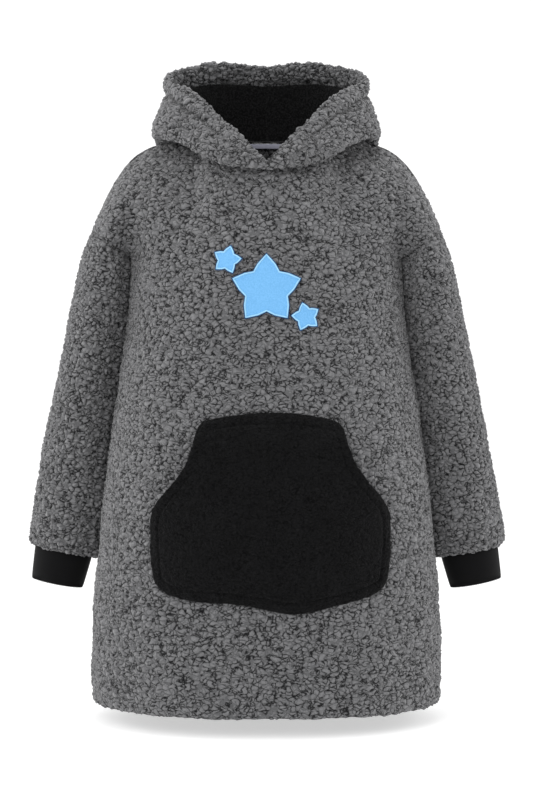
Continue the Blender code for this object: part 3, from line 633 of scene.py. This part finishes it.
# %% Rib, knit, tape, felt and satin thread
RIB_STITCH = 0.0016
KNIT_SIZE = 0.0022
TAPE_YARN = 0.0012
RIB_FUZZ = 0.0011
RIB_SHARE = 0.35
KNIT_FUZZ = 0.0035
FELT_FIBRE = 0.0016
SATIN_PITCH = 0.0007
WEAVE_STRENGTH = 0.8


def cloth_material(name, dark, light, roughness, sheen, weave, depth):
    """A thin cloth: a weave function gives its height, which shades and bumps it."""
    material, tree, shader = fresh_material(name, roughness, sheen)
    place = chain(tree, "ShaderNodeTexCoord", {}).outputs["Object"]
    height = weave(tree, place)
    tree.links.new(blend(tree, height, dark, light), shader.inputs["Base Color"])
    tree.links.new(bump(tree, height, depth, WEAVE_STRENGTH), shader.inputs["Normal"])
    return material


def wave(tree, place, direction, size, twist):
    inputs = {"Vector": place, "Scale": 0.5 / size, "Distortion": twist, "Detail": 1.0, "Detail Scale": 1.5}
    return chain(tree, "ShaderNodeTexWave", inputs, bands_direction=direction).outputs["Fac"]


def ribbed(tree, place):
    rows = wave(tree, place, "Z", RIB_STITCH, 0.6)
    fuzz = noise(tree, place, RIB_FUZZ, 2.0).outputs["Fac"]
    return maths(tree, "MULTIPLY_ADD", rows, RIB_SHARE, maths(tree, "MULTIPLY", fuzz, 1 - RIB_SHARE))


def knitted(tree, place):
    cells = chain(tree, "ShaderNodeTexVoronoi", {"Vector": place, "Scale": 1 / KNIT_SIZE}, feature="F1")
    fuzz = noise(tree, place, KNIT_FUZZ, 3.0).outputs["Fac"]
    return maths(tree, "MULTIPLY", ramp(tree, cells.outputs["Distance"], 0.8, 0.1), fuzz)


def woven(tree, place):
    across = wave(tree, place, "X", TAPE_YARN, 0.3)
    along = wave(tree, place, "Z", TAPE_YARN, 0.3)
    return maths(tree, "MULTIPLY_ADD", across, 0.5, maths(tree, "MULTIPLY", along, 0.5))


def felted(tree, place):
    return ramp(tree, noise(tree, place, FELT_FIBRE, 4.0).outputs["Fac"], 0.25, 0.75)


def stitched(tree, place):
    turns = chain(tree, "ShaderNodeAttribute", {}, attribute_name="along").outputs["Fac"]
    angle = maths(tree, "MULTIPLY", turns, math.tau / SATIN_PITCH)
    return ramp(tree, maths(tree, "SINE", angle), -1, 1)


BLACK_YARN = (0.0022, 0.0022, 0.0024, 1)
CLOTHS = [
    # name, dark tone, light tone, roughness, sheen, weave, depth of the bump
    ("black_rib", BLACK_YARN, (0.0065, 0.0065, 0.0070, 1), 0.85, 0.04, ribbed, 0.0004),
    ("black_lining", BLACK_YARN, (0.030, 0.030, 0.031, 1), 0.9, 0.12, knitted, 0.0010),
    ("neck_tape", (0.20, 0.20, 0.25, 1), (0.36, 0.36, 0.43, 1), 0.7, 0.1, woven, 0.0003),
    ("blue_felt", (0.145, 0.385, 0.69, 1), (0.185, 0.455, 0.78, 1), 0.85, 0.08, felted, 0.0002),
    ("satin_thread", (0.25, 0.54, 0.80, 1), (0.42, 0.72, 0.93, 1), 0.45, 0.0, stitched, 0.0002),
    ("outline_thread", (0.012, 0.04, 0.11, 1), (0.03, 0.08, 0.20, 1), 0.6, 0.0, felted, 0.0002),
]
black_rib, black_lining, neck_tape, blue_felt, satin, outline_thread = (
    cloth_material(*row) for row in CLOTHS
)

# %% [markdown]
# ## Cutting out, sewing and refining every piece of cloth
#
# All pieces are copied first, because sewing needs a piece and its neighbours together. Each row
# names the direction in which a piece's outer side lies furthest out, how far the pile goes round
# a free edge, and how its long edges are cut. The flat size is the piece of cloth before it was
# sewn, with its area where it isn't a rectangle.

# %% The pieces, from a table
PANEL_CUTS = [(0.0080, 4), (0.0032, 1)]
SLEEVE_CUTS = [(0.0050, 4), (0.0030, 2)]
HOOD_CUTS = [(0.0075, 4), (0.0045, 2), (0.0030, 1)]
POCKET_CUTS = [(0.0035, 2)]
CUFF_CUTS = [(0.0020, 3)]
PIECES = [
    # node, group, outer side, pile round the edge, cuts, flat size, flat area, held, rests on
    ("front_panel", "fleece", (0, -1, 0), 0.0040, PANEL_CUTS, (0.58, 0.76), 0.393, "draped", "back_panel"),
    ("back_panel", "fleece", (0, 1, 0), 0.0040, PANEL_CUTS, (0.57, 0.76), 0.374, "draped", "front_panel"),
    ("sleeve_right", "fleece", (1, 0, 0), 0.0, SLEEVE_CUTS, (0.40, 0.41), 0.126, "draped", "front_panel"),
    ("sleeve_left", "fleece", (-1, 0, 0), 0.0, SLEEVE_CUTS, (0.40, 0.41), 0.126, "draped", "front_panel"),
    ("hood_right", "fleece", (0, 1, 0), 0.0255, HOOD_CUTS, (0.36, 0.29), 0.083, "draped", "back_panel"),
    ("hood_left", "fleece", (0, 1, 0), 0.0255, HOOD_CUTS, (0.36, 0.29), 0.083, "draped", "back_panel"),
    ("pocket", "patch", (0, -1, 0), 0.0036, POCKET_CUTS, (0.30, 0.235), 0.058, "laid", "front_panel"),
    ("cuff_right", "rib", (1, 0, 0), 0.0060, CUFF_CUTS, (0.236, 0.045), 0.0102, "draped", "sleeve_right"),
    ("cuff_left", "rib", (-1, 0, 0), 0.0060, CUFF_CUTS, (0.236, 0.045), 0.0102, "draped", "sleeve_left"),
    ("hood_lining_right", "lining", (0, 0, 1), 0.0, [], (0.31, 0.25), 0.058, "draped", "hood_right"),
    ("hood_lining_left", "lining", (0, 0, 1), 0.0, [], (0.31, 0.25), 0.058, "draped", "hood_left"),
    ("neck_tape", "tape", (0, -1, 0), 0.0, [], (0.135, 0.010), 0.0012, "laid", "back_panel"),
]

cloths = {node: cloth_from(node, group + "_" + node) for node, group, *_ in PIECES}
for group in ("fleece", "patch", "rib", "lining", "tape"):
    alike = [cloths[row[0]] for row in PIECES if row[1] == group]
    sew(alike)
for node, group, outward, round_edge, cuts, *_ in PIECES:
    mark_shown(cloths[node], outward, round_edge)
    if node.startswith("hood_") and group == "fleece":
        keep_corners(cloths[node])
    refine(cloths[node], cuts)

# %% [markdown]
# ## Where stitches and neighbours press the pile
#
# The hem's stitched line runs level all round, 18 mm up. The hood's runs a band's width below
# its rim, and the band between swells like a soft tube. A sleeve hangs against the body, so its
# pile and the body's run into each other there, and no light comes through.

# %% Stitched lines of the hem, rules for the body and the sleeves
HEM_STITCH = 0.018
HEM_DIP = 0.0019
LINE_THINNING = 0.8
HEM_THINNING = 0.25
STAR_REACH = 0.0055
STAR_THINNING = 0.85
STAR_DIP = 0.0006
BODY_SIDE_X = 0.14
SLEEVE_INNER_X = 0.25
SLEEVE_SEAM = 1.8
CONTACT_FAR = 0.011
SLEEVE_PUSH = 0.0048
BODY_PUSH = 0.0014
hem_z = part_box("front_panel")[0].z


def shown_points(nodes, keep):
    """Points of the shown side of some pieces, where keep says so."""
    found = []
    for node in nodes:
        pile = cloths[node].data.attributes["pile"].data
        for vertex in cloths[node].data.vertices:
            if pile[vertex.index].value > FULL_PILE and keep(vertex.co):
                found.append(vertex.co.copy())
    return tree_of(found)


body_sides = shown_points(("front_panel", "back_panel"), lambda place: abs(place.x) > BODY_SIDE_X)
sleeves = ("sleeve_right", "sleeve_left")
sleeve_sides = shown_points(sleeves, lambda place: abs(place.x) < SLEEVE_INNER_X)
stars = [name for name in sorted(frame["nodes"]) if name.startswith("applique_star")]
star_meshes = [frame["nodes"][name].data for name in stars]
star_places = tree_of([vertex.co.copy() for mesh in star_meshes for vertex in mesh.vertices])


def contact(tree, place, normal):
    """1 where the cloth faces a neighbour that it touches, 0 where it is far or turned away."""
    mate, _, distance = tree.find(place)
    if distance > CONTACT_FAR or distance == 0:
        return 0.0
    facing = max((mate - place).normalized().dot(normal), 0.0)
    return facing * (1 - (distance / CONTACT_FAR) ** 2) ** 0.5


def body_rule(place, normal, stands, drawn):
    line = hollow(place.z - hem_z - HEM_STITCH, STITCH_REACH)
    below = HEM_THINNING if place.z < hem_z + HEM_STITCH else 0.0
    around = hollow(star_places.find(place)[2], STAR_REACH)
    touch = contact(sleeve_sides, place, normal)
    stands *= (1 - LINE_THINNING * line) * (1 - below) * (1 - STAR_THINNING * around)
    return stands, drawn + HEM_DIP * line + STAR_DIP * around - BODY_PUSH * touch


def sleeve_rule(place, normal, stands, drawn):
    return stands, SLEEVE_SEAM * drawn - SLEEVE_PUSH * contact(body_sides, place, normal)


# %% [markdown]
# The hood's line is measured from its rim, which is the highest point of the hood in each
# direction, and is drawn only where the cloth faces outwards. The pocket has one line inside its
# edge. The cuffs have no pile: their rule makes ribs, as a wave round the middle line of the cuff.

# %% Rules for the hood, the pocket and the cuffs
HOOD_PILE = 1.15
HOOD_BAND = 0.0205
BAND_REACH = 0.0032
BAND_DIP = 0.0048
BAND_SWELL = 0.0024
RIM_SWELL = 0.0016
POCKET_STITCH = 0.0085
POCKET_DIP = 0.0020
BEARING_STEP = 3
RIM_STEPS = 8
CUFF_END = 0.25
CUFF_RIBS = 80
RIB_DEPTH = 0.0005


def rim_line(name):
    """The hood's rim: its highest point in each direction from the neck."""
    highest = {}
    for vertex in frame["nodes"][name].data.vertices:
        place = vertex.co.copy()
        bearing = round(math.degrees(math.atan2(place.x, place.y)) / BEARING_STEP)
        if bearing not in highest or place.z > highest[bearing].z:
            highest[bearing] = place
    ordered = [highest[bearing] for bearing in sorted(highest)]
    dense = []
    for here, onward in zip(ordered, ordered[1:]):
        dense += [here.lerp(onward, step / RIM_STEPS) for step in range(RIM_STEPS)]
    return tree_of(dense + ordered[-1:])


def hood_rule(name):
    rim = rim_line(name)

    def rule(place, normal, stands, drawn):
        distance = rim.find(place)[2]
        outwards = 0.5 + 0.5 * normal.dot(Vector((place.x, place.y, 0)).normalized())
        line = hollow(distance - HOOD_BAND, BAND_REACH) * outwards**2
        tube = math.sin(math.pi * distance / HOOD_BAND) if distance < HOOD_BAND else 0.0
        band = (BAND_SWELL * tube + RIM_SWELL * hollow(distance, HOOD_BAND / 2)) * outwards
        return HOOD_PILE * stands * (1 - LINE_THINNING * line), drawn + BAND_DIP * line - band

    return rule


patch = cloths["pocket"].data
patch_edges = {index for edge in patch.edges if edge.use_seam for index in edge.vertices}
patch_rim = tree_of([patch.vertices[index].co.copy() for index in patch_edges])


def pocket_rule(place, normal, stands, drawn):
    line = hollow(patch_rim.find(place)[2] - POCKET_STITCH, STITCH_REACH / 2)
    return stands * (1 - LINE_THINNING * line), drawn + POCKET_DIP * line


def cuff_rule(name):
    """Ribs that run down the cuff: a wave round the line from its upper middle to its lower one."""
    low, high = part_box(name)
    places = [vertex.co for vertex in frame["nodes"][name].data.vertices]
    top = [place for place in places if place.z > high.z - CUFF_END * (high.z - low.z)]
    foot = [place for place in places if place.z < low.z + CUFF_END * (high.z - low.z)]
    top = sum(top, Vector((0, 0, 0))) / len(top)
    axis = (top - sum(foot, Vector((0, 0, 0))) / len(foot)).normalized()
    across = Vector((0, 1, 0)).cross(axis)

    def rule(place, normal, stands, drawn):
        bearing = math.atan2((place - top).y, (place - top).dot(across))
        return 0.0, RIB_DEPTH * (1 - math.cos(CUFF_RIBS * bearing))

    return rule


# %% [markdown]
# Now every cloth is raised by its rule, gets its material, and is tied to the body of the model.
# It takes the place of its imported node, which is hidden.

# %% Raising the pile
def dress(piece, material, slot, node=None):
    """Gives a finished piece its material and body, and hides the node that it stands for."""
    piece.data.materials.append(material)
    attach(piece, "root")
    if node:
        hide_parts(node)


def plain(place, normal, stands, drawn):
    return 0.0, 0.0


RULES = {"front_panel": body_rule, "back_panel": body_rule, "pocket": pocket_rule}
RULES |= {name: sleeve_rule for name in sleeves}
RULES |= {name: hood_rule(name) for name in ("hood_right", "hood_left")}
RULES |= {name: cuff_rule(name) for name in ("cuff_right", "cuff_left")}
HEIGHTS = {"fleece": 1.0, "patch": 0.4, "rib": 1.0, "lining": 0.0, "tape": 0.0}
FINISHES = {
    # group: material, the record's name for it
    "fleece": (curly_fleece, "curly_fleece"),
    "patch": (black_fleece, "black_fleece"),
    "rib": (black_rib, "black_rib"),
    "lining": (black_lining, "black_lining"),
    "tape": (neck_tape, "neck_tape"),
}

for node, group, _, _, _, flat, area, held, rests in PIECES:
    lay_pile(cloths[node], RULES.get(node, plain), HEIGHTS[group])
    dress(cloths[node], *FINISHES[group], node)

# %% [markdown]
# ## Star appliques
#
# Each star is a flat piece of felt with a satin-stitched edge: close threads that wrap over the
# edge and stand up as a thin ridge. The felt is a copy of the node. The ridge is its outline,
# copied, turned into a curve, given a round section and turned back into a mesh. A thinner and
# darker thread goes just outside it, which draws a line round the star.

# %% Felt stars and their edges
SATIN_RADIUS = 0.0012
OUTLINE_RADIUS = 0.0009
OUTLINE_OUT = 0.0016
THREAD_SIDES = 3
TO_THE_FRONT = -0.8
STARS = {
    # flat size and area
    "applique_star_large": ((0.084, 0.080), 0.0036),
    "applique_star_left": ((0.033, 0.032), 0.0006),
    "applique_star_right": ((0.033, 0.032), 0.0006),
}


def felt_star(node):
    piece = cloth_from(node, "felt_" + node, quads=False)
    levels = {"levels": SMOOTH_LEVELS, "render_levels": SMOOTH_LEVELS}
    modify(piece, "SUBSURF", **levels, subdivision_type="SIMPLE")
    bpy.ops.object.shade_smooth_by_angle(angle=RIM_ANGLE)
    return piece


def ridge(felt, name, radius, grow, material):
    """A round thread along the rim of the felt's outer face, moved out from its middle."""
    mesh = edit(felt, "EDGE")
    for edge in mesh.edges:
        edge.select = edge.seam and min(face.normal.y for face in edge.link_faces) < TO_THE_FRONT
    bmesh.update_edit_mesh(felt.data)
    bpy.ops.mesh.duplicate()
    bpy.ops.mesh.separate(type="SELECTED")
    close()
    line = [piece for piece in bpy.context.selected_objects if piece != felt][0]
    places = [vertex.co.copy() for vertex in line.data.vertices]
    middle = sum(places, Vector((0, 0, 0))) / len(places)
    edit(line)
    bpy.ops.mesh.select_all(action="SELECT")
    reach = max((place - middle).length for place in places)
    bpy.ops.transform.resize(value=(1 + grow / reach,) * 3, center_override=middle)
    close()
    line.data.materials.clear()
    bpy.ops.object.convert(target="CURVE")
    thread = bpy.context.object
    points = [point.co.to_3d() for spline in thread.data.splines for point in spline.points]
    thread.data.bevel_depth = radius
    thread.data.bevel_resolution = THREAD_SIDES
    bpy.ops.object.convert(target="MESH")
    thread = bpy.context.object
    thread.name = thread.data.name = name
    lengths = [0.0]
    for a, b in zip(points, points[1:]):
        lengths.append(lengths[-1] + (b - a).length)
    nearest = tree_of(points)
    along = thread.data.attributes.new("along", "FLOAT", "POINT")
    for vertex in thread.data.vertices:
        along.data[vertex.index].value = lengths[nearest.find(vertex.co)[1]]
    bpy.ops.object.shade_smooth()
    dress(thread, material, "blue_felt")
    return thread


for node, (flat, area) in STARS.items():
    felt = felt_star(node)
    threads = [
        ridge(felt, "satin_" + node, SATIN_RADIUS, 0.0, satin),
        ridge(felt, "outline_" + node, OUTLINE_RADIUS, OUTLINE_OUT, outline_thread),
    ]
    dress(felt, blue_felt, "blue_felt", node)
    print(f"{node}: {len(felt.data.polygons)} faces of felt, {len(threads[0].data.polygons)} of thread")
